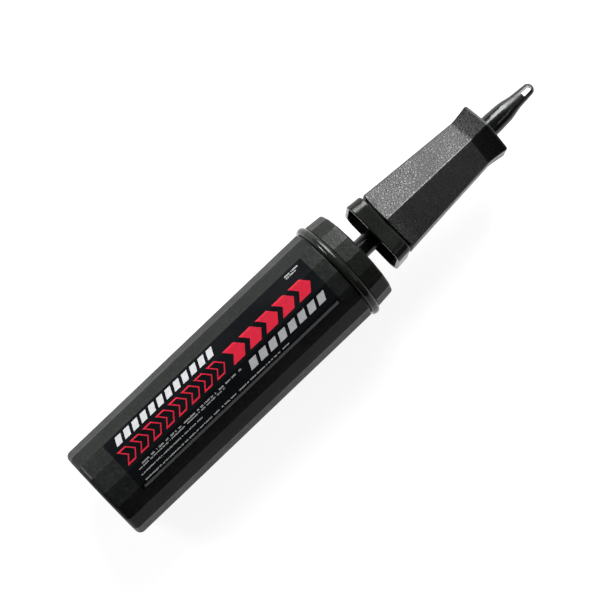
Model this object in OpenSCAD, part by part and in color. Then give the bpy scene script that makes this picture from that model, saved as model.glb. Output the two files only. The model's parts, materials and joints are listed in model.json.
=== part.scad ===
// Double-action hand pump for inflatables, lying on its side: the barrel slides on a hollow rod,
// and air from both strokes leaves through the rod, the handle and the nozzle.
// Every sub-part is drawn upright, its axis along Z with the base at zero, then laid along +X.

/* [Barrel] */
// Length of the barrel, from its base to its mouth
barrel_len = 160; // [130:1:200]
// Radius of the bore that the piston runs in
bore_r = 24.2; // [20:0.1:30]
// Wall between the bore and a flat side, at the base
barrel_wall = 2.9; // [2:0.1:4]
// How much further out the flats stand at the mouth than at the base
barrel_draft = 0.2; // [0:0.05:1]
// Flat sides round the barrel and the cap
sides = 18; // [14:2:24]
// Rounding of the base's outer edge
base_fillet = 3.2; // [1:0.1:4]
// Thickness of the barrel's floor
floor_t = 2.4; // [2:0.1:4]
// Depth of the recess under the base, inside its foot
foot_depth = 1.2; // [0.5:0.1:2]
// Width of the foot's flat rim
foot_rim = 2.9; // [2:0.1:5]

/* [Label] */
// Thickness of the label
label_t = 0.15; // [0.1:0.01:0.4]
// From the base to the label
label_from_base = 17; // [8:0.5:40]
// From the label to the barrel's mouth
label_from_mouth = 8.6; // [5:0.1:30]
// Angle from the uppermost edge to the label's far side
label_left = 39.4; // [20:0.2:60]
// Angle from the uppermost edge to the label's near side
label_right = 26; // [10:0.2:60]

/* [Cap] */
// Height of the cap above the barrel's mouth
cap_h = 16.3; // [14:0.1:22]
// Height of the round bead at the cap's foot
bead_h = 5.0; // [3:0.1:6]
// How far the bead stands out past the barrel's flats
bead_out = 1.7; // [0.8:0.1:3]
// How far the cap's flats stand inside the barrel's, at the bead
cap_inset = 0.4; // [0:0.1:1.5]
// How much further in the cap's flats lean by its top
cap_draft = 0.9; // [0:0.1:1.5]
// Rounding of the cap's top edge
cap_fillet = 1.5; // [0.5:0.1:2]
// Thickness of the cap's top wall
cap_top_t = 2.2; // [1.5:0.1:4]
// Open line between the bead and the barrel
shadow_gap = 0.4; // [0.2:0.05:0.8]
// Length of the spigot that plugs the barrel's mouth
spigot_len = 8; // [7.5:0.1:12]
// Wall of the spigot
spigot_wall = 1.85; // [1.5:0.05:2.5]

/* [Piston] */
// Thickness of each piston plate
plate_t = 3.2; // [2:0.1:5]
// Height of the valve chamber between the plates
chamber_h = 5.6; // [5.4:0.1:8]
// Height of the piston's hub above its upper plate
piston_hub_h = 4; // [3:0.1:8]
// Radial depth of the piston seal
seal_depth = 3.55; // [2:0.05:5]
// Width of the wall between the valve chamber and the seal
ring_wall = 4.4; // [3.6:0.1:6]
// Thickness of the rubber valve discs
valve_t = 1; // [0.6:0.1:1.4]
// Lift of the valve discs
valve_lift = 0.7; // [0.4:0.05:0.8]

/* [Rod] */
// Radius of the rod
rod_r = 5.3; // [4.2:0.05:6]
// Radius of the air passage in the rod
rod_bore_r = 2.8; // [2:0.05:3]
// How far the handle stands off the cap, as it lies
pull_out = 10.7; // [1:0.1:60]

/* [Handle] */
// Length of the handle, from its open rim to its end face
handle_len = 80.7; // [65:0.1:110]
// Half the width of the collar's open rim
collar_half = 19.2; // [17.5:0.1:24]
// How much the collar narrows towards the grip, on each side
collar_draft = 0.65; // [0:0.05:1]
// Height of the smooth collar
collar_h = 8.8; // [8:0.1:16]
// Rounding of the collar's four corners
collar_corner = 7; // [4:0.1:9]
// Wall of the collar
collar_wall = 1.9; // [1.4:0.1:2.4]
// Radius to the grip's edges where it meets the collar
grip_r = 20.7; // [19.4:0.1:24]
// Radius to the grip's edges at its waist
waist_r = 15.95; // [14:0.05:18]
// Radius to the grip's edges at its end
flare_r = 17.5; // [15:0.05:20]
// Length of the flare, from the waist to the end cap
flare_len = 9.7; // [6:0.1:14]
// Wall of the grip
grip_wall = 2.2; // [1.6:0.1:2.6]
// Thickness of the end cap's plate
end_cap_t = 1.6; // [1.2:0.1:3]
// Turn of the handle about its axis, as it lies
handle_turn = -4.6; // [-30:0.1:30]

/* [Nozzle] */
// Radius of the nozzle's straight root
nozzle_r = 5.9; // [5.2:0.05:6.5]
// Length of the nozzle's straight root
root_len = 5.4; // [4:0.1:8]
// Length of the taper above the root
taper_len = 8.7; // [6:0.1:12]
// Radius where the taper ends and the cone begins
shoulder_r = 5.45; // [4.6:0.05:5.8]
// Length of the cone
cone_len = 6.7; // [4:0.1:9]
// Radius where the cone ends and the tip begins
tip_r0 = 3.85; // [3:0.05:4.4]
// Radius at the end of the tip
tip_r1 = 3.2; // [2.4:0.05:3.7]
// Length of the tip, with its round end
tip_len = 12.5; // [10:0.1:18]
// Length of the slot through the tip
slot_len = 6.3; // [4:0.1:8]
// Width of the slot at its lower end
slot_w = 3.1; // [2:0.1:3.6]

/* [Hidden] */
$fn = 96;

// Clearances
fixed_gap = 0.1;       // between pieces that are fastened together
face_gap = 0.02;       // between faces that are pressed together
run_gap = 0.05;        // a seal or bush round what slides in it
piston_gap = 0.5;      // the piston's plates in the bore
end_gap = 0.3;         // at each end of the stroke
valve_gap = 0.1;       // a closed valve disc and its seat
eps = 0.01;

// Barrel
flat_base = bore_r + barrel_wall;
flat_mouth = flat_base + barrel_draft;
floor_z = foot_depth + floor_t;
foot_r = flat_base - base_fillet - foot_rim;
fillet_steps = 6;

// Base valve
valve_r = 9;
port_r = 1.5;
ports = 6;
cage_wall = 1.2;
base_cage_h = 2 * valve_gap + valve_t + valve_lift + cage_wall;

// Cap
cap_z = barrel_len;
cap_top = cap_z + cap_h;
bead_r = flat_mouth + bead_out;
cap_flat_low = flat_mouth - cap_inset;
cap_flat_high = cap_flat_low - cap_draft;
spigot_r = bore_r - 0.15;
spigot_in = spigot_r - spigot_wall;
spigot_z = cap_z - spigot_len;
ledge = 1.2;
plate_z = spigot_z + 3;
guide_t = 2.6;
seal_t = 2.2;
hub_r = rod_r + fixed_gap + seal_t + 1.15;
cage_r = spigot_in - fixed_gap;
cap_in = spigot_in - ledge;
boss_r = 2.6;
boss_at = cap_in - boss_r + 0.6;
cap_port_at = (hub_r + cap_in) / 2;
screws = 3;
screw_r = 1.15;
screw_head_r = 2.1;
screw_head_t = 1.3;
screw_len = 10;
lug_out = 1;
lug_h = 1.2;
lug_z = spigot_z + 4.6;
lug_angle = 16;
groove_h = 1.8;
groove_z = spigot_z + 1.4;
groove_depth = 0.9;

// Rod seal
rod_seal_h = 3.4;
guide_hub_top = cap_top - cap_top_t - 2.6;
rod_seal_z = guide_hub_top - rod_seal_h - fixed_gap;

// Piston, from its own lower face
piston_r = bore_r - piston_gap;
seal_in = bore_r - run_gap - seal_depth;
chamber_r = seal_in - fixed_gap - ring_wall;
chamber_z = plate_t;
upper_z = plate_t + chamber_h;
piston_h = upper_z + plate_t + piston_hub_h;
piston_screw_at = chamber_r + ring_wall / 2;
spider_rim = 1.4;
piston_valve_r = chamber_r - fixed_gap - spider_rim - 0.4;
spider_mid = 1.2;
spider_z = plate_t + (chamber_h - spider_mid) / 2;
flange_r = rod_r + 1.75;
flange_t = 1.3;
upper_port_at = (flange_r + piston_valve_r) / 2;

// Where the moving parts stand as the pump lies
handle_z = cap_top + pull_out;
piston_z = floor_z + base_cage_h + 2 * end_gap + pull_out - end_gap;
handle_top = handle_z + handle_len;
tip_z = handle_top + root_len + taper_len + cone_len + tip_len;
overall = tip_z;

// Handle, from its rim
deck_z = 13;
deck_t = 2.4;
grip_sides = 6;
grip_low = collar_h + 0.4;       // the grip's upper and lower edges reach down to the collar
grip_corner = collar_h + 2;      // its other edges end a little higher
waist_z = handle_len - end_cap_t - flare_len;
collar_top_half = collar_half - collar_draft;
grip_in = grip_wall / cos(30);   // the wall, measured along an edge's radius
collar_spigot_h = 11;
clip_z = deck_z + 25;
clip_t = 1.2;
clip_r = 7.5;
step_r = rod_r - 0.55;
neck_r = step_r - 0.6;
ring_r = 0.6;
end_spigot_h = 3.4;
end_round = 0.55 * end_cap_t;
round_steps = 5;
nozzle_boss_r = nozzle_r + 0.9;
nozzle_flange_r = 9;
nozzle_flange_t = 2;
nozzle_skirt = 9.7;
neck_over = root_len + 2.5;

// ---------- shapes used by several parts ----------

// Points round a flat-sided ring whose flats stand at `flat`, with an edge at angle 0
function ring(flat, n, z) = [for (i = [0 : n - 1]) let (r = flat / cos(180 / n), a = 360 * i / n)
    [r * cos(a), r * sin(a), z]];

// Points round a rounded square, `half` from centre to side
function round_square(half, corner, z, steps = 8) = [for (q = [0 : 3], i = [0 : steps])
    let (a = 90 * q + 90 * i / steps, c = half - corner, m = 45 + 90 * q)
    [sign(cos(m)) * c + corner * cos(a), sign(sin(m)) * c + corner * sin(a), z]];

// A closed solid through a list of rings, each a list of as many points
module loft(rings) {
    n = len(rings[0]);
    m = len(rings);
    walls = [for (j = [0 : m - 2], i = [0 : n - 1]) let (k = (i + 1) % n)
        [j * n + i, j * n + k, (j + 1) * n + k, (j + 1) * n + i]];
    polyhedron(
        points = [for (r = rings) each r],
        faces = concat([[for (i = [0 : n - 1]) i]],
            [for (w = walls) [w[3], w[2], w[1], w[0]]],
            [[for (i = [n - 1 : -1 : 0]) (m - 1) * n + i]]));
}

module at_each(n, radius, z = 0, from = 0)
    for (i = [0 : n - 1]) rotate(from + 360 * i / n) translate([radius, 0, z]) children();

module tube(r_out, r_in, h) difference() {
    cylinder(r = r_out, h = h);
    translate([0, 0, -eps]) cylinder(r = r_in, h = h + 2 * eps);
}

// From upright, with the base at zero, to lying along +X on the bead, the label upwards
module lay() translate([-overall / 2, 0, bead_r]) rotate([180, 0, 0]) rotate([0, 90, 0]) children();

// The pieces that turn with the handle
module lay_plunger() lay() rotate(handle_turn) children();

// ---------- barrel ----------

// The barrel's outside, `grow` larger all round
module barrel_outside(grow = 0) {
    fillet = [for (i = [0 : fillet_steps]) let (a = 90 * i / fillet_steps)
        ring(flat_base + grow - base_fillet * (1 - sin(a)), sides, base_fillet * (1 - cos(a)))];
    loft(concat(fillet, [ring(flat_mouth + grow, sides, barrel_len)]));
}

module barrel() color("#2b2d2b") difference() {
    barrel_outside();
    translate([0, 0, floor_z]) cylinder(r = bore_r, h = barrel_len);
    translate([0, 0, -eps]) cylinder(r = foot_r, h = foot_depth + eps);
    at_each(ports, valve_r * 0.6, foot_depth - eps) cylinder(r = port_r, h = floor_t + 2 * eps, $fn = 24);
    // the twist lock's entries and the groove that holds its lugs
    at_each(screws, 0) {
        lock_sector(lug_angle + 2, 0, barrel_len - lug_z + 0.3 + eps);
        lock_sector(2 * lug_angle + 4, lug_angle / 2 + 1, lug_h + 0.4);
    }
}

// A part of a ring outside the bore, cut for the lugs
module lock_sector(angle, middle, h)
    translate([0, 0, lug_z - 0.2]) rotate(middle - angle / 2)
        rotate_extrude(angle = angle) translate([bore_r - 0.5, 0]) square([lug_out + 0.7, h]);

// A skin on the flats, from `label_left` below to `label_right` above angle 0
module label() color("#101214") {
    far = flat_mouth * 1.2;
    difference() {
        intersection() {
            barrel_outside(label_t + face_gap);
            translate([0, 0, label_from_base])
                linear_extrude(barrel_len - label_from_base - label_from_mouth) polygon([
                    [0, 0],
                    far * [cos(label_left), -sin(label_left)],
                    [far * 1.2, 0],
                    far * [cos(label_right), sin(label_right)]]);
        }
        barrel_outside(face_gap);
    }
}

// ---------- base intake valve ----------

module base_valve_cage() color("#3a3c3a") translate([0, 0, floor_z + face_gap]) difference() {
    cylinder(r = valve_r + 0.4 + cage_wall, h = base_cage_h - face_gap);
    translate([0, 0, -eps]) cylinder(r = valve_r + 0.4, h = base_cage_h - cage_wall);
    at_each(ports, valve_r * 0.62, 0, 30) cylinder(r = 1.8, h = base_cage_h, $fn = 24);
}

module base_intake_valve() color("#1a1a1c")
    translate([0, 0, floor_z + valve_gap]) cylinder(r = valve_r, h = valve_t);

// ---------- cap ----------

// Half of the bead's section, with its outer edges rounded
module bead_section(r_in) {
    round_r = 0.25 * bead_h;
    translate([r_in, cap_z + shadow_gap]) square([bead_r - round_r - r_in, bead_h]);
    for (z = [round_r, bead_h - round_r])
        translate([bead_r - round_r, cap_z + shadow_gap + z]) circle(r = round_r, $fn = 32);
    translate([bead_r - round_r - eps, cap_z + shadow_gap + round_r])
        square([round_r + eps, bead_h - 2 * round_r]);
}

module cap_outside() {
    foot = cap_z + shadow_gap + bead_h / 2;
    fillet = [for (i = [0 : fillet_steps]) let (a = 90 * i / fillet_steps)
        ring(cap_flat_high - cap_fillet * (1 - cos(a)), sides, cap_top - cap_fillet * (1 - sin(a)))];
    loft(concat([ring(cap_flat_low, sides, foot)], fillet));
}

module cap() color("#33352f") difference() {
    union() {
        cap_shell();
        // bosses for the guide's screws, and the boss that keeps the rod seal in
        at_each(screws, boss_at, plate_z + guide_t + face_gap)
            cylinder(r = boss_r, h = cap_top - cap_top_t / 2 - plate_z - guide_t - face_gap, $fn = 32);
        translate([0, 0, guide_hub_top + fixed_gap])
            cylinder(r = hub_r, h = cap_top - cap_top_t / 2 - guide_hub_top);
    }
    translate([0, 0, guide_hub_top]) cylinder(r = rod_r + 0.3, h = cap_h);
    at_each(screws, boss_at, plate_z + guide_t - eps)
        cylinder(r = screw_r + run_gap, h = screw_len, $fn = 24);
    at_each(ports, cap_port_at, cap_top - cap_top_t - eps, 30)
        cylinder(r = 1.6, h = cap_top_t + 2 * eps, $fn = 24);
}

module cap_shell() {
    difference() {
        union() {
            cap_outside();
            rotate_extrude() bead_section(cap_in);
            // the flange that sits on the barrel's end, then the spigot
            translate([0, 0, cap_z + face_gap]) cylinder(r = flat_mouth - 1, h = shadow_gap + bead_h / 2);
            translate([0, 0, spigot_z]) cylinder(r = spigot_r, h = spigot_len + 1);
            at_each(screws, 0, lug_z, lug_angle + 2) rotate(-lug_angle / 2) rotate_extrude(angle = lug_angle)
                translate([spigot_r - 0.6, 0]) square([lug_out + 0.6, lug_h]);
        }
        translate([0, 0, spigot_z - eps])
            cylinder(r = spigot_in, h = plate_z + guide_t - spigot_z + face_gap + eps);
        translate([0, 0, spigot_z]) cylinder(r = cap_in, h = cap_top - cap_top_t - spigot_z);
        translate([0, 0, groove_z]) tube(spigot_r + 1, spigot_r - groove_depth, groove_h);
    }
}

module cap_seal() color("#151515") translate([0, 0, groove_z + groove_h / 2]) rotate_extrude()
    translate([spigot_r - groove_depth + 0.52, 0]) circle(r = 0.5, $fn = 24);

module guide_plate() color("#3a3c3a") difference() {
    union() {
        translate([0, 0, plate_z]) cylinder(r = spigot_in - fixed_gap, h = guide_t);
        translate([0, 0, spigot_z]) cylinder(r = hub_r, h = guide_hub_top - spigot_z);
    }
    translate([0, 0, spigot_z - eps]) cylinder(r = rod_r + run_gap + 0.02, h = guide_hub_top);
    translate([0, 0, rod_seal_z]) cylinder(r = rod_r + seal_t + fixed_gap, h = rod_seal_h + 1);
    at_each(8, flap_at(), plate_z - eps) cylinder(r = 1.6, h = guide_t + 2 * eps, $fn = 24);
    at_each(screws, boss_at, plate_z - eps) cylinder(r = screw_r + run_gap, h = guide_t + 2 * eps, $fn = 24);
}

// The ring-shaped valve under the guide plate: its inner and outer radius, and the middle of its width
function flap_in() = hub_r + 0.4;
function flap_out() = boss_at - boss_r - 0.4;
function flap_at() = (flap_in() + flap_out()) / 2;

module top_intake_valve() color("#1a1a1c")
    translate([0, 0, plate_z - valve_gap - valve_t]) tube(flap_out(), flap_in(), valve_t);

module top_valve_cage() color("#3a3c3a") difference() {
    union() {
        translate([0, 0, spigot_z]) tube(cage_r, cage_r - 1.6, plate_z - spigot_z - face_gap);
        translate([0, 0, spigot_z]) tube(cage_r, flap_in() - 0.1, 1);
        at_each(screws, boss_at, spigot_z) cylinder(r = boss_r, h = plate_z - spigot_z - face_gap, $fn = 32);
    }
    at_each(8, flap_at(), spigot_z - eps, 22.5) cylinder(r = 1.9, h = 1 + 2 * eps, $fn = 24);
    at_each(screws, boss_at, spigot_z - eps) {
        cylinder(r = screw_r + run_gap, h = plate_z - spigot_z, $fn = 24);
        cylinder(r = screw_head_r + fixed_gap, h = screw_head_t + 0.2, $fn = 24);
    }
}

// A pan-head screw, its head at zero and its shank along +Z, with a cross recess
module screw(shank_len) difference() {
    union() {
        cylinder(r = screw_head_r, h = screw_head_t, $fn = 24);
        cylinder(r = screw_r, h = screw_head_t + shank_len, $fn = 24);
    }
    for (a = [0, 90]) rotate(a) translate([-1.3, -0.25, -eps]) cube([2.6, 0.5, 0.8]);
}

module guide_screws() color("silver") at_each(screws, boss_at, spigot_z + 0.15) screw(screw_len);

// A lip seal: a ring with a groove in its lower face
module rod_seal() color("#1a1a1c") translate([0, 0, rod_seal_z + face_gap]) rotate_extrude()
    translate([rod_r + run_gap, 0]) difference() {
        square([seal_t, rod_seal_h - face_gap]);
        translate([0.7, -eps]) square([seal_t - 1.4, 1.6]);
    }

// ---------- piston ----------

module piston_lower() color("#3a3c3a") translate([0, 0, piston_z]) difference() {
    union() {
        cylinder(r = piston_r, h = plate_t);
        tube(seal_in - fixed_gap, chamber_r, upper_z - face_gap);
    }
    at_each(ports, piston_valve_r * 0.64, -eps) cylinder(r = 1.6, h = plate_t + 2 * eps, $fn = 24);
    at_each(screws, piston_screw_at, -eps) {
        cylinder(r = screw_r + run_gap, h = upper_z, $fn = 24);
        cylinder(r = screw_head_r + fixed_gap, h = screw_head_t + 0.2, $fn = 24);
    }
}

module piston_upper() color("#3a3c3a") translate([0, 0, piston_z + upper_z]) difference() {
    union() {
        cylinder(r = piston_r, h = plate_t);
        cylinder(r = hub_r, h = plate_t + piston_hub_h);
    }
    translate([0, 0, -eps]) cylinder(r = rod_r + face_gap, h = piston_h);
    at_each(ports, upper_port_at, -eps, 30) cylinder(r = port_r, h = plate_t + 2 * eps, $fn = 24);
    at_each(screws, piston_screw_at, -eps) cylinder(r = screw_r + run_gap, h = plate_t - 0.7, $fn = 24);
}

module piston_screws() color("silver") at_each(screws, piston_screw_at, piston_z + 0.15)
    screw(upper_z + plate_t - screw_head_t - 1.1);

// A U-ring that opens both ways, between the two plates
module piston_seal() color("#1a1a1c")
    translate([0, 0, piston_z + plate_t + fixed_gap]) rotate_extrude() difference() {
        translate([seal_in, 0]) square([seal_depth, chamber_h - 2 * fixed_gap]);
        for (z = [-eps, chamber_h - 2 * fixed_gap - 1.6])
            translate([seal_in + 1.1, z]) square([seal_depth - 2.1, 1.6 + eps]);
    }

// Keeps the two valve discs apart and the rod's flange against the upper plate
module valve_spider() color("#4a4c4a") translate([0, 0, piston_z]) difference() {
    union() {
        translate([0, 0, plate_t + face_gap])
            tube(chamber_r - fixed_gap, chamber_r - fixed_gap - spider_rim, chamber_h - 2 * face_gap);
        translate([0, 0, spider_z]) cylinder(r = chamber_r - fixed_gap - eps, h = spider_mid);
        translate([0, 0, spider_z])
            cylinder(r = flange_r - 0.4, h = upper_z - flange_t - face_gap - spider_z);
    }
    translate([0, 0, spider_z - eps]) cylinder(r = 3.4, h = chamber_h, $fn = 48);
    at_each(ports, upper_port_at, spider_z - eps) cylinder(r = port_r, h = spider_mid + 2 * eps, $fn = 24);
}

module piston_lower_valve() color("#1a1a1c")
    translate([0, 0, piston_z + plate_t + valve_gap]) cylinder(r = piston_valve_r, h = valve_t);

module piston_upper_valve() color("#1a1a1c")
    translate([0, 0, piston_z + upper_z - valve_gap - valve_t]) tube(piston_valve_r, flange_r + 0.4, valve_t);

// ---------- rod ----------

module rod() color("#1e1f1e") {
    low = piston_z + upper_z - flange_t;
    deck = handle_z + deck_z;
    neck = handle_top - nozzle_skirt - 2 * ring_r - fixed_gap;
    difference() {
        union() {
            translate([0, 0, low]) cylinder(r = flange_r, h = flange_t - face_gap);
            translate([0, 0, low]) cylinder(r = rod_r, h = deck - face_gap - low);
            translate([0, 0, low]) cylinder(r = step_r, h = neck - low);
            translate([0, 0, low]) cylinder(r = neck_r, h = handle_top + neck_over - low);
        }
        translate([0, 0, low - eps]) cylinder(r = rod_bore_r, h = overall);
        translate([0, 0, handle_z + clip_z]) tube(rod_r, neck_r, clip_t + fixed_gap);
    }
}

// A ring clip, open at one side
module rod_clip() color("silver") translate([0, 0, handle_z + clip_z + fixed_gap / 2]) difference() {
    tube(clip_r, neck_r + run_gap, clip_t);
    translate([0, -2.6, -eps]) cube([9, 5.2, clip_t + 2 * eps]);
}

// ---------- handle, drawn from its rim ----------

// Radius to the grip's edges at height z
function grip_edge(z) = z <= waist_z
    ? grip_r + (waist_r - grip_r) * (z - grip_low) / (waist_z - grip_low)
    : waist_r + (flare_r - waist_r) * flare_share((z - waist_z) / flare_len);

// How much of the flare is done at a share t of its length
function flare_share(t) = 0.22 * t + 0.78 * t * t;

// A six-sided ring, `inset` inside the grip's edges at height z
function grip_ring(z, inset = 0) = ring((grip_edge(z) - inset) * cos(180 / grip_sides), grip_sides, z);

flare_steps = 8;
flare_heights = [for (i = [0 : flare_steps]) waist_z + flare_len * i / flare_steps];

module handle_collar() color("#2a2c27") translate([0, 0, handle_z]) {
    hub_h = clip_z - deck_z;
    difference() {
        union() {
            collar_outside();
            loft([grip_ring(collar_h - 1, grip_in + fixed_gap),
                grip_ring(collar_h + collar_spigot_h, grip_in + fixed_gap)]);
        }
        // the open side, up to the deck
        loft([round_square(collar_half - collar_wall, collar_corner - collar_wall, -1),
            round_square(collar_top_half - collar_wall - 1, collar_corner - collar_wall, collar_h - 2)]);
        loft([grip_ring(collar_h - 3, grip_in + 2), grip_ring(deck_z, grip_in + 2)]);
        // the closed side, above the deck
        loft([grip_ring(deck_z + deck_t, grip_in + 2),
            grip_ring(collar_h + collar_spigot_h + 1, grip_in + 2)]);
        cylinder(r = step_r + run_gap, h = 2 * deck_z);
    }
    translate([0, 0, deck_z]) tube(hub_r, step_r + run_gap, hub_h);
    // ribs from the hub to the spigot
    for (i = [0 : grip_sides - 1]) rotate(60 * i + 30)
        translate([hub_r - 0.5, -0.7, deck_z + 1]) cube([5, 1.4, collar_spigot_h - 6]);
}

module collar_outside(grow = 0) loft([
    round_square(collar_half + grow - 0.5, collar_corner + grow, 0),
    round_square(collar_half + grow - 0.12, collar_corner + grow, 0.2),
    round_square(collar_half + grow, collar_corner + grow, 0.7),
    round_square(collar_top_half + grow, collar_corner + grow, collar_h - 0.8),
    round_square(collar_top_half + grow - 0.8, collar_corner + grow, collar_h)]);

// What is cut off under the grip's slanting lower edge
module grip_foot() rotate([90, 0, 0]) translate([0, 0, -2 * grip_r]) linear_extrude(4 * grip_r) polygon([
    [-grip_r - 1, -1], [grip_r + 1, -1], [grip_r + 1, grip_low], [grip_r, grip_low],
    [grip_r / 2, grip_corner], [-grip_r / 2, grip_corner], [-grip_r, grip_low], [-grip_r - 1, grip_low]]);

module handle_grip() color("#3b383a") translate([0, 0, handle_z]) difference() {
    loft(concat([grip_ring(grip_low)], [for (z = flare_heights) grip_ring(z)]));
    loft(concat([grip_ring(grip_low - 1, grip_in)],
        [for (z = flare_heights) grip_ring(z + (z == flare_heights[flare_steps] ? 1 : 0), grip_in)]));
    grip_foot();
    collar_outside(fixed_gap);
}

module handle_end_cap() color("#262827") translate([0, 0, handle_z]) {
    z = handle_len - end_cap_t;
    difference() {
        union() {
            loft(concat([grip_ring(z + face_gap)], [for (i = [0 : round_steps])
                let (a = 90 * i / round_steps, inset = end_round * (1 - cos(a)))
                ring(flare_r * cos(30) - inset, grip_sides, z + end_cap_t - end_round * (1 - sin(a)))]));
            loft([grip_ring(z - end_spigot_h, grip_in + fixed_gap), grip_ring(z + 0.5, grip_in + fixed_gap)]);
        }
        translate([0, 0, z - end_spigot_h - 1]) cylinder(r = nozzle_flange_r + 0.4, h = end_spigot_h + 1);
        cylinder(r = nozzle_boss_r + fixed_gap, h = handle_len + 1);
    }
}

// ---------- nozzle ----------

module nozzle() color("#17181a") translate([0, 0, handle_top]) {
    taper_z = root_len;
    cone_z = taper_z + taper_len;
    tip_start = cone_z + cone_len;
    end_z = tip_start + tip_len;
    flange_z = -end_cap_t - fixed_gap - nozzle_flange_t;
    outline = concat(
        [[neck_r + run_gap, -nozzle_skirt], [nozzle_boss_r, -nozzle_skirt], [nozzle_boss_r, flange_z],
            [nozzle_flange_r, flange_z], [nozzle_flange_r, flange_z + nozzle_flange_t],
            [nozzle_boss_r, flange_z + nozzle_flange_t], [nozzle_boss_r, 0], [nozzle_r, 0],
            [nozzle_r, taper_z], [shoulder_r, cone_z], [tip_r0, tip_start]],
        [for (i = [0 : round_steps]) let (a = 90 * i / round_steps)
            [tip_r1 * cos(a), end_z - tip_r1 + tip_r1 * sin(a)]],
        [[0, end_z - 1.4], [tip_r1 - 1.2, end_z - tip_r1], [tip_r0 - 1.3, tip_start],
            [rod_bore_r, cone_z - 1], [rod_bore_r, neck_over + 0.4], [neck_r + run_gap, neck_over + 0.4]]);
    slot_z = end_z - 1.3 - slot_len;
    slot_top = 0.41 * slot_w;
    difference() {
        rotate_extrude() polygon(outline);
        translate([-5, 0, slot_z]) rotate([90, 0, 90]) linear_extrude(10) polygon(concat(
            [[-slot_w / 2, 0.4], [0.4 - slot_w / 2, 0], [slot_w / 2 - 0.4, 0], [slot_w / 2, 0.4]],
            [for (i = [0 : 2 * round_steps]) let (a = 90 * i / round_steps)
                [slot_top * cos(a), slot_len - slot_top + slot_top * sin(a)]]));
    }
}

module nozzle_seal() color("#151515")
    translate([0, 0, handle_top - nozzle_skirt - ring_r - 2 * face_gap]) rotate_extrude()
        translate([neck_r + ring_r + 0.08, 0]) circle(r = ring_r, $fn = 24);

// ---------- the parts ----------

lay() barrel();
lay() label();
lay() base_valve_cage();
lay() base_intake_valve();
lay() cap();
lay() cap_seal();
lay() guide_plate();
lay() guide_screws();
lay() rod_seal();
lay() top_valve_cage();
lay() top_intake_valve();
lay_plunger() piston_seal();
lay_plunger() piston_lower();
lay_plunger() piston_upper();
lay_plunger() valve_spider();
lay_plunger() piston_screws();
lay_plunger() piston_lower_valve();
lay_plunger() piston_upper_valve();
lay_plunger() rod();
lay_plunger() rod_clip();
lay_plunger() handle_collar();
lay_plunger() handle_grip();
lay_plunger() handle_end_cap();
lay_plunger() nozzle();
lay_plunger() nozzle_seal();
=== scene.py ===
"""Double-action hand pump for inflatables, lying on a pale floor.

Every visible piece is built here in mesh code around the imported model. Shapes are worked out in
millimetres, upright: s along the axis from the base, a turn t in degrees from the uppermost edge
(positive towards -Y) and a distance r from the axis. place() turns that into the row frame.
"""
import json
import math

import bmesh
import bpy
from mathutils import Matrix, Vector


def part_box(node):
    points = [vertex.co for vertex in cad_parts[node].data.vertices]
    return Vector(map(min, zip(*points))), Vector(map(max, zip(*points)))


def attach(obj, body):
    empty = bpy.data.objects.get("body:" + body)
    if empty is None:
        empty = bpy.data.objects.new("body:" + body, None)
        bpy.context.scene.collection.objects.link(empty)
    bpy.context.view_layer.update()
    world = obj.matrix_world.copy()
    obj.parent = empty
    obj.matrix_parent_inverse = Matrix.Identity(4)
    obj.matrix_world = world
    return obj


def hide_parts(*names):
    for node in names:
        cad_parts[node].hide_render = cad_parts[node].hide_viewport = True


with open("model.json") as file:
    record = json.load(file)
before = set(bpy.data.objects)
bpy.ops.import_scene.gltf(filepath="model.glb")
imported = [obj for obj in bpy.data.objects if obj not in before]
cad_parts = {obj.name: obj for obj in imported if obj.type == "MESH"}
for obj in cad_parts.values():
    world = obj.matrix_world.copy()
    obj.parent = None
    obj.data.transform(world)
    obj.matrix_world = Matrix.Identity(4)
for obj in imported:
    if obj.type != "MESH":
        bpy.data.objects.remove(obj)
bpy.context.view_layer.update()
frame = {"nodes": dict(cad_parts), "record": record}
MM = 0.001

# ---------------------------------------------------------------- sizes, some read from the imported model, the rest given


def span(node):
    """A node's two ends along the axis, in mm from the base."""
    low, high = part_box(node)
    return (low.x - BASE_X) / MM, (high.x - BASE_X) / MM


BASE_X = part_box("barrel")[0].x
AXIS_Z = (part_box("cap")[0].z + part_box("cap")[1].z) / 2
MOUTH = span("barrel")[1]
CAP_TOP = span("cap")[1]
RIM = span("handle_collar")[0]
GRIP_LOW, GRIP_END = span("handle_grip")
HANDLE_TOP = span("handle_end_cap")[1]
TIP = span("nozzle")[1]
BEAD_R = AXIS_Z / MM

SIDES = 18
FLAT_BASE, FLAT_MOUTH = 27.1, 27.3
BORE_R = 24.2
BASE_FILLET = 3.2
FOOT_R = 21.0
FOOT_DEPTH = 1.2
BORE_FLOOR = 3.6
INTAKE_CIRCLE, INTAKE_R = 5.4, 1.5
EDGE_ROUND = 0.9
CAP_FLAT_LOW, CAP_FLAT_HIGH = 26.9, 26.0
CAP_HOLE_CIRCLE, CAP_HOLE_R = 14.75, 1.6
CAP_PLUG_R = 21.0
COLLAR_HALF, COLLAR_TOP_HALF, COLLAR_CORNER = 19.2, 18.55, 7.0
COLLAR_H, COLLAR_WALL, DECK = 8.8, 1.9, 13.0
GRIP_R, WAIST_R, FLARE_R = 20.7, 15.95, 17.5
GRIP_CORNER_UP = 1.6
WAIST = GRIP_END - 9.7
ROD_R = 5.3
NOZZLE_R, SHOULDER_R, TIP_R0, TIP_R1 = 5.9, 5.45, 3.85, 3.2
BOSS_R = NOZZLE_R + 0.9
LABEL_FROM, LABEL_TO = span("label")
LABEL_LEFT, LABEL_RIGHT = -39.4, 26.0
HANDLE_TURN = -4.6


def flat_at(s):
    """How far the barrel's flats stand from the axis at s."""
    return FLAT_BASE + (FLAT_MOUTH - FLAT_BASE) * s / MOUTH


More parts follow.
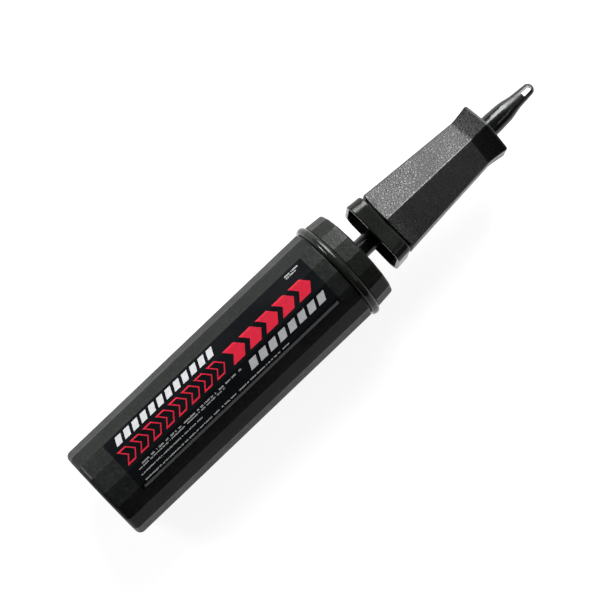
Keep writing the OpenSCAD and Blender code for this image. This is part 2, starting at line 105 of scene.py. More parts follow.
def place(s, t, r):
    """The point at s, turn t and distance r, in the row frame."""
    a = math.radians(t)
    return Vector((BASE_X + s * MM, -r * MM * math.sin(a), AXIS_Z + r * MM * math.cos(a)))


# ---------------------------------------------------------------- mesh helpers


def make_mesh(name, points, faces, smooth=True, edge=None):
    """A mesh object from points and faces; edge gives each point its edge mark, 0 to 1."""
    me = bpy.data.meshes.new(name)
    me.from_pydata([tuple(p) for p in points], [], faces)
    me.validate()
    if edge is not None:
        layer = me.attributes.new("edge_mark", "FLOAT", "POINT")
        layer.data.foreach_set("value", edge)
    if smooth:
        me.shade_smooth()
    ob = bpy.data.objects.new(name, me)
    bpy.context.scene.collection.objects.link(ob)
    return ob


def loft(name, rings, edge):
    """Skins a list of closed rings of as many points and closes the two ends."""
    n, m = len(rings[0]), len(rings)
    points = [p for ring in rings for p in ring]
    faces = []
    for j in range(m - 1):
        for i in range(n):
            k = (i + 1) % n
            faces.append((j * n + i, j * n + k, (j + 1) * n + k, (j + 1) * n + i))
    faces.append(tuple(range(n - 1, -1, -1)))
    faces.append(tuple((m - 1) * n + i for i in range(n)))
    return make_mesh(name, points, faces, edge=edge)


def fix_normals(ob):
    bm = bmesh.new()
    bm.from_mesh(ob.data)
    bmesh.ops.recalc_face_normals(bm, faces=bm.faces)
    bm.to_mesh(ob.data)
    bm.free()


def weigh(ob, sharp=35):
    """Keeps flats flat: sharp edges by angle, then normals weighted by face area."""
    ob.data.shade_smooth()
    ob.data.set_sharp_from_angle(angle=math.radians(sharp))
    mod = ob.modifiers.new("weighted", "WEIGHTED_NORMAL")
    mod.keep_sharp = True
    mod.weight = 50


def cut(ob, tool):
    """Takes the mesh of tool out of ob and drops tool."""
    mod = ob.modifiers.new("cut", "BOOLEAN")
    mod.operation = "DIFFERENCE"
    mod.solver = "EXACT"
    mod.object = tool
    bpy.context.view_layer.update()
    done = bpy.data.meshes.new_from_object(ob.evaluated_get(bpy.context.evaluated_depsgraph_get()))
    ob.modifiers.remove(mod)
    ob.data = done
    bpy.data.objects.remove(tool)


def drill(ob, spots, radius, s0, s1, sides=24):
    """Round holes through ob, parallel to the axis: spots are (t, r)."""
    points, faces = [], []
    for t, r in spots:
        c = place(0, t, r)
        base = len(points)
        for s in (s0, s1):
            for i in range(sides):
                a = 2 * math.pi * i / sides
                points.append(Vector((BASE_X + s * MM, c.y + radius * MM * math.cos(a),
                                      c.z + radius * MM * math.sin(a))))
        for i in range(sides):
            k = (i + 1) % sides
            faces.append((base + i, base + k, base + sides + k, base + sides + i))
        faces.append(tuple(base + i for i in range(sides - 1, -1, -1)))
        faces.append(tuple(base + sides + i for i in range(sides)))
    tool = make_mesh("drill", points, faces, smooth=False)
    fix_normals(tool)
    cut(ob, tool)


def corner_ring(flat, sides, rounding, steps, s, turn=0.0, fill=1):
    """A ring round a flat-sided section: each corner is an arc of `rounding` mm in `steps` steps.
    Returns points and how near each is to a corner, 0 to 1."""
    half = 180 / sides
    out, edge_marks = [], []
    centre = (flat - rounding) / math.cos(math.radians(half))
    for i in range(sides):
        a0 = 360 * i / sides
        for k in range(steps + 1):
            b = a0 - half + 2 * half * k / steps
            y = centre * math.sin(math.radians(a0)) + rounding * math.sin(math.radians(b))
            x = centre * math.cos(math.radians(a0)) + rounding * math.cos(math.radians(b))
            out.append((math.degrees(math.atan2(y, x)) + turn, math.hypot(x, y)))
            edge_marks.append(1.0 if 0 < k < steps else 0.55)
        nxt = a0 + 360 / sides
        x0 = centre * math.cos(math.radians(a0)) + rounding * math.cos(math.radians(a0 + half))
        y0 = centre * math.sin(math.radians(a0)) + rounding * math.sin(math.radians(a0 + half))
        x1 = centre * math.cos(math.radians(nxt)) + rounding * math.cos(math.radians(nxt - half))
        y1 = centre * math.sin(math.radians(nxt)) + rounding * math.sin(math.radians(nxt - half))
        for f in range(1, fill + 1):
            q = f / (fill + 1)
            x, y = x0 + (x1 - x0) * q, y0 + (y1 - y0) * q
            out.append((math.degrees(math.atan2(y, x)) + turn, math.hypot(x, y)))
            edge_marks.append(0.0)
    return [place(s, t, r) for t, r in out], edge_marks


def round_ring(r, like, s):
    """A circle of radius r with its points at the turns of the ring `like`."""
    out = []
    for p in like:
        a = math.atan2(-p.y, p.z - AXIS_Z)
        out.append(place(s, math.degrees(a), r))
    return out


def lathe(name, profile, turn, edge_marks, sides=96):
    """A surface of revolution from (r, s) pairs; the marking function gives each ring its edge mark by its
    place along the axis.
    """
    rings = [[place(s, turn + 360 * i / sides, max(r, 0.001)) for i in range(sides)] for r, s in profile]
    return loft(name, rings, [edge_marks(s) for r, s in profile for i in range(sides)])


def arc(cr, cs, radius, a0, a1, steps):
    """Profile points on a quarter round about (cr, cs), from a0 to a1 degrees (0 points outwards)."""
    out = []
    for i in range(steps + 1):
        a = math.radians(a0 + (a1 - a0) * i / steps)
        out.append((cr + radius * math.cos(a), cs + radius * math.sin(a)))
    return out


def gon_radius(flat, sides, rounding, t):
    """Distance from the axis to a flat-sided section with rounded corners, at turn t."""
    half = 180 / sides
    from_corner = abs((t + half) % (2 * half) - half)
    centre = (flat - rounding) / math.cos(math.radians(half))
    d = math.radians(from_corner)
    from_middle = math.radians(half - from_corner)
    if flat * math.tan(from_middle) <= centre * math.sin(math.radians(half)):
        return flat / math.cos(from_middle)
    inside = rounding ** 2 - (centre * math.sin(d)) ** 2
    return centre * math.cos(d) + math.sqrt(max(inside, 0))


def loop_loft(name, rings, edge=None):
    """Skins rings round a closed path, the last joined to the first."""
    n, m = len(rings[0]), len(rings)
    points = [p for ring in rings for p in ring]
    faces = [(j * n + i, j * n + (i + 1) % n, (j + 1) % m * n + (i + 1) % n, (j + 1) % m * n + i)
             for j in range(m) for i in range(n)]
    ob = make_mesh(name, points, faces, edge=edge)
    fix_normals(ob)
    return ob


# ---------------------------------------------------------------- barrel


def build_barrel():
    steps = 4
    rings, edge_marks = [], []
    like = corner_ring(20, SIDES, 1, steps, 0, fill=2)[0]

    def gon(s, flat, rounding=EDGE_ROUND, shine=1.0):
        ring, w = corner_ring(flat, SIDES, rounding, steps, s, fill=2)
        rings.append(ring)
        edge_marks.extend(v * shine for v in w)

    def circle(s, r):
        rings.append(round_ring(r, rings[-1] if rings else like, s))
        edge_marks.extend([0.0] * len(like))

    for r in (0.01, 4, 9, 14, FOOT_R - 0.9):
        circle(FOOT_DEPTH, r)
    for r, s in arc(FOOT_R - 0.9, FOOT_DEPTH - 0.3, 0.3, 90, 0, 3)[1:]:
        circle(s, r)
    for r, s in arc(FOOT_R, 0.35, 0.4, 180, 270, 4):
        circle(max(s, 0.0), r)
    low = FLAT_BASE - BASE_FILLET
    gon(0, low, 2.4, 0)
    for i in range(1, 10):
        a = math.radians(90 * i / 9)
        gon(BASE_FILLET * (1 - math.cos(a)), low + BASE_FILLET * math.sin(a), 2.4 - 1.5 * i / 9, i / 9)
    for s in (12, 40, 80, 120, 150, MOUTH - 0.5):
        gon(s, flat_at(s))
    gon(MOUTH - 0.12, flat_at(MOUTH) - 0.1)
    gon(MOUTH, flat_at(MOUTH) - 0.4, shine=0.3)
    circle(MOUTH, BORE_R + 0.3)
    for s in (MOUTH - 0.3, 100, 50, BORE_FLOOR):
        circle(s, BORE_R)
    circle(BORE_FLOOR, 12)
    circle(BORE_FLOOR, 0.01)
    ob = loft("barrel_body", rings, edge_marks)
    fix_normals(ob)
    drill(ob, [(60 * i, INTAKE_CIRCLE) for i in range(6)], INTAKE_R, -1, 5)
    weigh(ob)
    return ob


# ---------------------------------------------------------------- label


def build_label():
    lift, thick, corner = 0.02, 0.15, 0.9
    s_steps, t_steps = 60, 132
    s_list = [LABEL_FROM + (LABEL_TO - LABEL_FROM) * i / s_steps for i in range(s_steps + 1)]
    for k in range(1, 5):
        s_list += [LABEL_FROM + corner * (k - 0.5) / 5, LABEL_TO - corner * (k - 0.5) / 5]
    s_list = sorted(s_list)
    points, faces = [], []
    n = t_steps + 1

    def edge_in(s):
        """How far the label's long edges draw in near its round corners, in mm."""
        d = min(s - LABEL_FROM, LABEL_TO - s)
        return corner - math.sqrt(max(corner ** 2 - (corner - d) ** 2, 0)) if d < corner else 0

    for s in s_list:
        inset = math.degrees(edge_in(s) / FLAT_MOUTH)
        a, b = LABEL_LEFT + inset, LABEL_RIGHT - inset
        for i in range(n):
            t = a + (b - a) * i / t_steps
            points.append(place(s, t, gon_radius(flat_at(s), SIDES, EDGE_ROUND, t) + lift + thick))
    rows = len(s_list)
    for j in range(rows - 1):
        for i in range(t_steps):
            faces.append((j * n + i, j * n + i + 1, (j + 1) * n + i + 1, (j + 1) * n + i))
    rim = list(range(n)) + [j * n + n - 1 for j in range(1, rows)]
    rim += [(rows - 1) * n + i for i in range(n - 2, -1, -1)] + [j * n for j in range(rows - 2, 0, -1)]
    base = len(points)
    for k in rim:
        p = points[k]
        axis = Vector((p.x, 0, AXIS_Z))
        points.append(p - (p - axis).normalized() * thick * MM)
    for k in range(len(rim)):
        m = (k + 1) % len(rim)
        faces.append((rim[k], rim[m], base + m, base + k))
    ob = make_mesh("label_sheet", points, faces)
    fix_normals(ob)
    ob.data.shade_smooth()
    ob.data.set_sharp_from_angle(angle=math.radians(40))
    return ob


# ---------------------------------------------------------------- cap


def build_cap():
    steps = 4
    rings, edge_marks = [], []
    like = corner_ring(20, SIDES, 1, steps, 0, fill=2)[0]

    def gon(s, flat, rounding=EDGE_ROUND, shine=1.0):
        ring, w = corner_ring(flat, SIDES, rounding, steps, s, fill=2)
        rings.append(ring)
        edge_marks.extend(v * shine for v in w)

    def circle(s, r, shine=0.0):
        rings.append(round_ring(r, like, s))
        edge_marks.extend([shine] * len(like))

    s0, s1, rise = MOUTH + 0.85, MOUTH + 5.4, 2.0
    half = (s1 - s0) / 2
    circle(MOUTH + 0.03, CAP_PLUG_R)
    circle(MOUTH + 0.03, FLAT_MOUTH - 1.0)
    circle(s0, FLAT_MOUTH - 0.95)
    circle(s0, BEAD_R - rise - 0.2)
    # the bead: a crowned section, a little fuller than an ellipse
    for i in range(17):
        a = math.radians(-90 + 174 * i / 16)
        circle(s0 + half + half * math.sin(a), BEAD_R - rise + rise * math.cos(a) ** 0.85, 1.5)
    # a small hollow where the bead meets the flats
    circle(s1 - 0.1, CAP_FLAT_LOW + 0.5)
    gon(s1 - 0.28, CAP_FLAT_LOW - 0.05, shine=0)
    gon(s1 - 0.22, CAP_FLAT_LOW - 0.3, shine=0)
    gon(s1 + 0.2, CAP_FLAT_LOW - 0.24, shine=0)
    gon(s1 + 0.5, CAP_FLAT_LOW - 0.02, shine=0.4)
    top_round = 1.5
    lean = (CAP_FLAT_HIGH - CAP_FLAT_LOW) / (CAP_TOP - s1)
    for s in (s1 + 3, s1 + 6.5, CAP_TOP - top_round):
        gon(s, CAP_FLAT_LOW + lean * (s - s1))
    for r, s in arc(CAP_FLAT_HIGH - top_round, CAP_TOP - top_round, top_round, 10, 90, 7):
        gon(s, r, EDGE_ROUND + 1.2 * (s - CAP_TOP + top_round) / top_round, 0.8)
    # the top: a rim, a shallow step down, a ring round the rod
    step = CAP_TOP - 0.5
    circle(CAP_TOP, 22.4)
    circle(CAP_TOP - 0.1, 22.1)
    circle(step, 21.9)
    for r in (19, 16, 12):
        circle(step, r)
    circle(step, 8.9)
    circle(CAP_TOP - 0.15, 8.6)
    circle(CAP_TOP - 0.02, 8.3)
    circle(CAP_TOP - 0.02, ROD_R + 0.9)
    for r, s in arc(ROD_R + 0.9, CAP_TOP - 0.62, 0.6, 90, 180, 5):
        circle(s, r)
    # inside: the rod's guide and the underside of the top
    guide, underside = CAP_TOP - 5, CAP_TOP - 2.4
    circle(guide, ROD_R + 0.3)
    circle(guide, 9)
    circle(underside, 9)
    circle(underside, CAP_PLUG_R)
    ob = loop_loft("cap_body", rings, edge=edge_marks)
    drill(ob, [(30 + 60 * i, CAP_HOLE_CIRCLE) for i in range(6)], CAP_HOLE_R, CAP_TOP - 4, CAP_TOP + 1)
    weigh(ob)
    return ob


# ---------------------------------------------------------------- handle


def square_ring(s, half, corner, steps=10, fill=5, turn=HANDLE_TURN):
    """A rounded square, `half` from the axis to each side, at s."""
    out = []
    c = half - corner
    for q in range(4):
        m = 45 + 90 * q
        cx = math.copysign(c, math.cos(math.radians(m)))
        cy = math.copysign(c, math.sin(math.radians(m)))
        for i in range(steps + 1):
            a = math.radians(90 * q + 90 * i / steps)
            out.append((cx + corner * math.cos(a), cy + corner * math.sin(a)))
        nx = math.copysign(c, math.cos(math.radians(m + 90)))
        ny = math.copysign(c, math.sin(math.radians(m + 90)))
        a = math.radians(90 * (q + 1))
        x0, y0 = cx + corner * math.cos(a), cy + corner * math.sin(a)
        x1, y1 = nx + corner * math.cos(a), ny + corner * math.sin(a)
        out += [(x0 + (x1 - x0) * f / (fill + 1), y0 + (y1 - y0) * f / (fill + 1))
                for f in range(1, fill + 1)]
    return [place(s, math.degrees(math.atan2(y, x)) + turn, math.hypot(x, y)) for x, y in out]


def build_collar():
    rings, edge_marks = [], []
    like = square_ring(0, 18, 7)

    def square(s, half, corner, shine=0.0):
        rings.append(square_ring(s, half, corner))
        edge_marks.extend([shine] * len(rings[-1]))

    def circle(s, r):
        rings.append(round_ring(r, like, s))
        edge_marks.extend([0.0] * len(like))

    lean = (COLLAR_TOP_HALF - COLLAR_HALF) / COLLAR_H
    inner = COLLAR_HALF - COLLAR_WALL
    # the rim, rounded on its outer and inner edges, a little proud as a lip
    for r, s in arc(inner + 0.35, RIM + 0.35, 0.35, 180, 270, 4):
        square(s, r, COLLAR_CORNER - COLLAR_WALL + (r - inner), 0.5)
    for r, s in arc(COLLAR_HALF - 0.7, RIM + 0.7, 0.7, -90, 0, 6):
        square(s, r, COLLAR_CORNER - (COLLAR_HALF - r), 0.9)
    for s in (2.2, 4.5, 6.5, COLLAR_H - 1.0):
        square(RIM + s, COLLAR_HALF + lean * s, COLLAR_CORNER)
    for r, s in arc(COLLAR_TOP_HALF - 0.9, RIM + COLLAR_H - 0.9, 0.9, 0, 90, 6)[1:]:
        square(s, r, COLLAR_CORNER - 0.5 * (COLLAR_TOP_HALF - r), 0.7)
    # the deck inside, with the hole for the rod and a small groove round it
    deck_top, hole = RIM + DECK + 2.4, 4.6
    circle(RIM + COLLAR_H, 13)
    circle(deck_top, 13)
    circle(deck_top, hole)
    circle(RIM + DECK, hole)
    circle(RIM + DECK, 7.2)
    circle(RIM + DECK - 1.4, 7.3)
    circle(RIM + DECK - 1.6, 7.6)
    circle(RIM + DECK - 1.4, 7.9)
    circle(RIM + DECK, 8.2)
    circle(RIM + DECK, 13.6)
    circle(RIM + DECK - 0.4, 14.0)
    square(RIM + COLLAR_H - 1.6, inner + lean * 7.6 - 1.6, 5.1)
    square(RIM + COLLAR_H - 2.2, inner + lean * 7 - 0.2, 5.1)
    square(RIM + 4, inner + lean * 3, 5.1)
    ob = loop_loft("collar_shell", rings, edge=edge_marks)
    weigh(ob)
    return ob


def grip_edge(s):
    """Radius to the grip's edges at s."""
    if s <= WAIST:
        return GRIP_R + (WAIST_R - GRIP_R) * (s - GRIP_LOW) / (WAIST - GRIP_LOW)
    q = (s - WAIST) / (GRIP_END - WAIST)
    return WAIST_R + (FLARE_R - WAIST_R) * (0.7 * q + 0.3 * q * q)


def grip_foot(t):
    """How much higher than its lowest point the grip's lower edge is at turn t."""
    share = min(abs(math.cos(math.radians(t))), 1.0)
    return GRIP_CORNER_UP * (1 - max(share - 0.5, 0) * 2)


def build_grip():
    sides, steps, fill = 6, 6, 14
    rings, edge_marks = [], []

    def ring(s, inset=0.0, rounding=0.9, shine=1.0, radial=0.0):
        flat = (grip_edge(min(max(s, GRIP_LOW), GRIP_END)) - inset) * math.cos(math.radians(30)) - radial
        base, w = corner_ring(flat, sides, rounding, steps, s, fill=fill)
        out = []
        fade = max(0.0, 1 - (s - GRIP_LOW) / 12)
        for p in base:
            t = math.degrees(math.atan2(-p.y, p.z - AXIS_Z))
            r = math.hypot(p.y, p.z - AXIS_Z) / MM
            out.append(place(s + grip_foot(t) * fade, t + HANDLE_TURN, r))
        rings.append(out)
        edge_marks.extend(v * shine for v in w)

    soft = 0.5
    for a in (0, 30, 60):
        k = math.radians(a)
        ring(GRIP_LOW + soft * (1 - math.sin(k)), radial=soft * (1 - math.cos(k)) if a else 0.5, shine=0.6)
    rings.reverse()
    s = GRIP_LOW + soft
    while s < WAIST - 1.2:
        ring(s)
        s += 3.0
    for i in range(25):
        ring(WAIST - 1.0 + (GRIP_END - WAIST + 1.0) * i / 24)
    ring(GRIP_END, inset=2.5, shine=0)
    ring(GRIP_END - 8, inset=2.5, shine=0)
    ring(GRIP_LOW + 14, inset=2.5, shine=0)
    ring(GRIP_LOW + 0.1, inset=2.2, shine=0)
    ob = loop_loft("grip_shell", rings, edge=edge_marks)
    weigh(ob, 50)
    return ob


def build_end_rim():
    rings, edge_marks = [], []
    z0, z1 = GRIP_END + 0.02, HANDLE_TOP

    def gon(s, edge, rounding=0.9, shine=0.0):
        flat = edge * math.cos(math.radians(30))
        rings.append(corner_ring(flat, 6, rounding, 6, s, turn=HANDLE_TURN, fill=8)[0])
        edge_marks.extend([shine] * len(rings[-1]))

    def circle(s, r):
        rings.append(round_ring(r, like, s))
        edge_marks.extend([0.0] * len(like))

    gon(z0, FLARE_R - 2.7)
    like = rings[0]
    gon(z0, FLARE_R - 0.35)
    for r, s in arc(FLARE_R - 0.3, z0 + 0.3, 0.3, -70, 0, 4):
        gon(s, r, 1.0, 0.8)
    for r, s in arc(FLARE_R - 1.0, z1 - 1.0, 1.0, 0, 90, 8):
        gon(s, r, 1.0 + 0.5 * (FLARE_R - r), 0.9)
    gon(z1, FLARE_R - 1.9, 1.6, 0.3)
    gon(z1 - 0.45, FLARE_R - 2.2, 1.6)
    gon(z1 - 0.45, FLARE_R - 4.5, 1.6)
    circle(z1 - 0.45, 8.6)
    circle(z1 - 0.1, 8.3)
    circle(z1, 8.0)
    circle(z1, BOSS_R + 0.35)
    circle(z1 - 0.25, BOSS_R + 0.1)
    circle(z1 - 1.5, BOSS_R + 0.1)
    circle(z1 - 1.5, 9)
    ob = loop_loft("end_rim", rings, edge=edge_marks)
    weigh(ob)
    return ob


# ---------------------------------------------------------------- nozzle and rod


def smooth_profile(corners, steps=8):
    """A profile through (r, s, round) corners, each rounded over `round` mm on either side."""
    out = [corners[0][:2]]
    for a, b, c in zip(corners, corners[1:], corners[2:]):
        k = b[2]
        if not k:
            out.append(b[:2])
            continue
        la, lc = math.dist(a[:2], b[:2]), math.dist(b[:2], c[:2])
        p = [b[i] + (a[i] - b[i]) * min(k / la, 0.5) for i in (0, 1)]
        q = [b[i] + (c[i] - b[i]) * min(k / lc, 0.5) for i in (0, 1)]
        for i in range(steps + 1):
            u = i / steps
            out.append(tuple((1 - u) ** 2 * p[j] + 2 * u * (1 - u) * b[j] + u * u * q[j] for j in (0, 1)))
    out.append(corners[-1][:2])
    return out


def build_nozzle():
    z = HANDLE_TOP
    cone, tip0 = z + 14.1, z + 20.8
    bore = 2.8
    outer = smooth_profile([
        (bore, z - 2.5, 0), (BOSS_R, z - 2.5, 0), (BOSS_R, z, 0.25), (NOZZLE_R, z, 0.3),
        (NOZZLE_R, z + 5.4, 1.2), (SHOULDER_R, cone, 2.2),
        (TIP_R0 + 0.12, tip0, 1.6), (TIP_R1 + 0.25, TIP - 6, 2.0), (TIP_R1, TIP - TIP_R1, 0)])
    outer += arc(0, TIP - TIP_R1, TIP_R1, 6, 89, 14)
    inner = [(0.01, TIP - 1.4), (0.9, TIP - 1.7), (1.6, TIP - 2.8),
             (2.15, tip0), (bore, cone), (bore, z + 8.6)]
    ob = lathe("nozzle_body", inner + outer, HANDLE_TURN, lambda s: min(max((s - cone + 1) / 4, 0), 1))
    fix_normals(ob)
    # the slot through the tip: square at its lower end, round at its upper one
    low, high, w0, w1 = TIP - 7.6, TIP - 1.3, 1.55, 1.27
    shape = [(-w0, low + 0.4), (-w0 + 0.4, low), (w0 - 0.4, low), (w0, low + 0.4)]
    shape += [(w1 * math.cos(math.radians(a)), high - w1 + w1 * math.sin(math.radians(a)))
              for a in range(0, 181, 10)]
    k = len(shape)
    turn = math.radians(HANDLE_TURN)
    points = []
    for depth in (-6, 6):
        for v, s in shape:
            y = depth * math.sin(turn) + v * math.cos(turn)
            up = depth * math.cos(turn) - v * math.sin(turn)
            points.append(Vector((BASE_X + s * MM, -y * MM, AXIS_Z + up * MM)))
    faces = [(i, (i + 1) % k, k + (i + 1) % k, k + i) for i in range(k)]
    faces += [tuple(range(k - 1, -1, -1)), tuple(range(k, 2 * k))]
    tool = make_mesh("slot", points, faces, smooth=False)
    fix_normals(tool)
    cut(ob, tool)
    fix_normals(ob)
    ob.data.shade_smooth()
    ob.data.set_sharp_from_angle(angle=math.radians(40))
    return ob


def build_rod():
    low, high = span("rod")
    deck = RIM + DECK - 0.02
    flange = low + 1.3
    profile = [(2.8, low), (6.85, low), (7.05, low + 0.2), (7.05, flange - 0.22), (6.85, flange - 0.02),
               (ROD_R, flange - 0.02), (ROD_R, low + 40), (ROD_R, low + 80), (ROD_R, low + 120),
               (ROD_R, deck - 0.2), (ROD_R - 0.2, deck), (4.5, deck), (4.5, HANDLE_TOP - 11),
               (3.9, HANDLE_TOP - 11), (3.9, high - 0.3), (3.6, high), (2.8, high)]
    rings = [[place(s, 360 * i / 96, r) for i in range(96)] for r, s in profile]
    ob = loop_loft("rod_tube", rings)
    ob.data.shade_smooth()
    ob.data.set_sharp_from_angle(angle=math.radians(30))
    return ob


# ---------------------------------------------------------------- materials


class Shader:
    """A material's node tree, with short ways to add and join nodes."""

    def __init__(self, name):
        self.material = bpy.data.materials.new(name)
        self.material.use_nodes = True
        self.tree = self.material.node_tree
        self.bsdf = self.tree.nodes["Principled BSDF"]
        self.object = self.add("ShaderNodeTexCoord").outputs["Object"]

    def add(self, kind, **settings):
        node = self.tree.nodes.new(kind)
        for key, value in settings.items():
            setattr(node, key, value)
        return node

    def put(self, socket, value):
        if isinstance(value, bpy.types.NodeSocket):
            self.tree.links.new(value, socket)
        else:
            socket.default_value = value

    def math(self, op, a, b=None):
        node = self.add("ShaderNodeMath", operation=op)
        self.put(node.inputs[0], a)
        if b is not None:
            self.put(node.inputs[1], b)
        return node.outputs[0]

    def noise(self, scale, detail=2.0, rough=0.5, distortion=0.0):
        node = self.add("ShaderNodeTexNoise")
        self.put(node.inputs["Vector"], self.object)
        for key, v in (("Scale", scale), ("Detail", detail), ("Roughness", rough),
                       ("Distortion", distortion)):
            node.inputs[key].default_value = v
        return node.outputs["Fac"]

    def cracks(self, scale, at):
        """Distance to the nearest edge between cells."""
        node = self.add("ShaderNodeTexVoronoi", feature="DISTANCE_TO_EDGE")
        self.put(node.inputs["Vector"], at)
        node.inputs["Scale"].default_value = scale
        return node.outputs["Distance"]

    def ramp(self, value, low, high, to_low=0.0, to_high=1.0):
        """A smooth step from to_low to to_high as value goes from low to high."""
        node = self.add("ShaderNodeMapRange", interpolation_type="SMOOTHSTEP", clamp=True)
        for key, v in (("Value", value), ("From Min", low), ("From Max", high), ("To Min", to_low),
                       ("To Max", to_high)):
            self.put(node.inputs[key], v)
        return node.outputs["Result"]

    def mix(self, share, a, b):
        node = self.add("ShaderNodeMix", data_type="RGBA")
        self.put(node.inputs[0], share)
        self.put(node.inputs[6], (*a, 1) if isinstance(a, tuple) else a)
        self.put(node.inputs[7], (*b, 1) if isinstance(b, tuple) else b)
        return node.outputs[2]

    def attribute(self, name):
        return self.add("ShaderNodeAttribute", attribute_name=name).outputs["Fac"]

    def bump(self, height, distance, strength=1.0, under=None):
        node = self.add("ShaderNodeBump")
        self.put(node.inputs["Height"], height)
        node.inputs["Distance"].default_value = distance
        node.inputs["Strength"].default_value = strength
        if under is not None:
            self.put(node.inputs["Normal"], under)
        return node.outputs["Normal"]

    def done(self, color, rough, normal=None, **fixed):
        self.put(self.bsdf.inputs["Base Color"], (*color, 1) if isinstance(color, tuple) else color)
        self.put(self.bsdf.inputs["Roughness"], rough)
        if normal is not None:
            self.put(self.bsdf.inputs["Normal"], normal)
        for key, v in fixed.items():
            self.bsdf.inputs[key.replace("_", " ")].default_value = v
        return self.material


def moulded(name, tone, light, rough, grain=0.35, grain_mm=0.35, relief=0.012, shine=0.5, edge_highlight_share=0.25,
            polish=0.1, wave=0.35):
    """Moulded plastic: a fine sparked grain, faint flow marks and dulled or polished patches; its marked
    edges are smoother and painted a little lighter, a painted highlight."""
    sh = Shader(name)
    cloud = sh.noise(45, 4, 0.6)
    speck = sh.noise(1000 / grain_mm * 0.45, 2, 0.6)
    color = sh.mix(sh.ramp(cloud, 0.3, 0.7), tone, light)
    color = sh.mix(sh.ramp(speck, 0.45, 0.75, 0, grain), color, tuple(min(1, v * 1.9) for v in light))
    edge_marks = sh.math("MULTIPLY", sh.attribute("edge_mark"), sh.ramp(sh.noise(160, 3), 0.3, 0.7, 0.35, 1.0))
    # painted highlight: the marked edges are painted lighter
    color = sh.mix(sh.math("MULTIPLY", edge_marks, edge_highlight_share), color, tuple(v * 3 for v in light))
    patch = sh.noise(28, 5, 0.65, distortion=0.4)
    r = sh.ramp(patch, 0.25, 0.75, rough - 0.07, rough + 0.07)
    r = sh.math("ADD", r, sh.ramp(speck, 0.3, 0.7, -0.04, 0.05))
    r = sh.math("SUBTRACT", r, sh.math("MULTIPLY", edge_marks, polish))
    height = sh.math("ADD", speck, sh.math("MULTIPLY", sh.noise(1000 / grain_mm, 2, 0.6), 0.5))
    normal = sh.bump(sh.noise(22, 2), 0.0006, wave)
    normal = sh.bump(height, relief * MM * 2, grain, under=normal)
    return sh.done(color, r, normal, Specular_IOR_Level=shine)


def leather_grain(name, dark, pale, crease_shade, rough_deep, rough_high, shine, relief=1.0):
    """Moulded plastic with a leather grain: small pebbles, dark to pale, between fine creases that are
    painted darker, a painted shade.
    """
    sh = Shader(name)
    warp = sh.add("ShaderNodeTexNoise")
    sh.put(warp.inputs["Vector"], sh.object)
    warp.inputs["Scale"].default_value = 700
    warp.inputs["Detail"].default_value = 3
    shift = sh.add("ShaderNodeVectorMath", operation="MULTIPLY_ADD")
    sh.put(shift.inputs[0], warp.outputs["Color"])
    shift.inputs[1].default_value = (0.0009, 0.0009, 0.0009)
    sh.put(shift.inputs[2], sh.object)
    at = shift.outputs[0]
    crease = sh.cracks(620, at)
    pebble = sh.ramp(crease, 0.0, 0.32)
    fine = sh.cracks(1500, at)
    height = sh.math("ADD", pebble, sh.math("MULTIPLY", sh.ramp(fine, 0.0, 0.3), 0.35))
    height = sh.math("ADD", height, sh.math("MULTIPLY", sh.noise(2600, 2), 0.12))
    wrinkle = sh.noise(260, 4, 0.6, distortion=1.2)
    height = sh.math("ADD", height, sh.math("MULTIPLY", wrinkle, 1.3))
    tone = sh.mix(sh.ramp(sh.noise(70, 4), 0.3, 0.7), dark, pale)
    # the grip is paler towards its foot
    axes = sh.add("ShaderNodeSeparateXYZ")
    sh.put(axes.inputs[0], sh.object)
    foot = sh.ramp(axes.outputs["X"], BASE_X + (GRIP_LOW + 2) * MM, BASE_X + (GRIP_LOW + 11) * MM, 1, 0)
    foot = sh.math("MULTIPLY", foot, sh.ramp(sh.noise(110, 4, 0.6), 0.35, 0.65, 0.15, 1))
    tone = sh.mix(foot, tone, (0.045, 0.043, 0.044))
    # painted shade: the creases between the pebbles are painted darker
    color = sh.mix(pebble, crease_shade, tone)
    # the edges have no grain and are smoother; their colour is painted darker, a painted dark line along the
    # ridges
    edge = sh.ramp(sh.attribute("edge_mark"), 0.25, 0.75)
    color = sh.mix(sh.math("MULTIPLY", edge, 0.85), color, (0.003, 0.0028, 0.003))
    rough = sh.ramp(pebble, 0, 1, rough_deep, rough_high)
    rough = sh.math("ADD", rough, sh.ramp(sh.noise(45, 4, distortion=0.6), 0.3, 0.7, -0.09, 0.09))
    rough = sh.math("ADD", rough, sh.math("MULTIPLY", foot, 0.06))
    rough = sh.math("SUBTRACT", rough, sh.math("MULTIPLY", edge, 0.14))
    height = sh.math("MULTIPLY", height, sh.math("SUBTRACT", 1.0, edge))
    normal = sh.bump(height, 0.00014, relief)
    return sh.done(color, rough, normal, Specular_IOR_Level=shine)


def rubber(name):
    sh = Shader(name)
    color = sh.mix(sh.ramp(sh.noise(90, 4), 0.3, 0.7), (0.012, 0.012, 0.012), (0.026, 0.026, 0.025))
    rough = sh.ramp(sh.noise(300, 3), 0.3, 0.7, 0.62, 0.8)
    return sh.done(color, rough, sh.bump(sh.noise(2600, 2), 0.00003, 0.4), Specular_IOR_Level=0.35)


def steel(name):
    sh = Shader(name)
    turned = sh.add("ShaderNodeTexWave", wave_type="RINGS", rings_direction="X")
    sh.put(turned.inputs["Vector"], sh.object)
    turned.inputs["Scale"].default_value = 900
    turned.inputs["Distortion"].default_value = 3
    color = sh.mix(sh.ramp(sh.noise(220, 3), 0.3, 0.7), (0.42, 0.42, 0.43), (0.6, 0.6, 0.6))
    rough = sh.ramp(sh.noise(500, 3), 0.3, 0.7, 0.24, 0.42)
    return sh.done(color, rough, sh.bump(turned.outputs["Fac"], 0.00002, 0.3), Metallic=1.0)


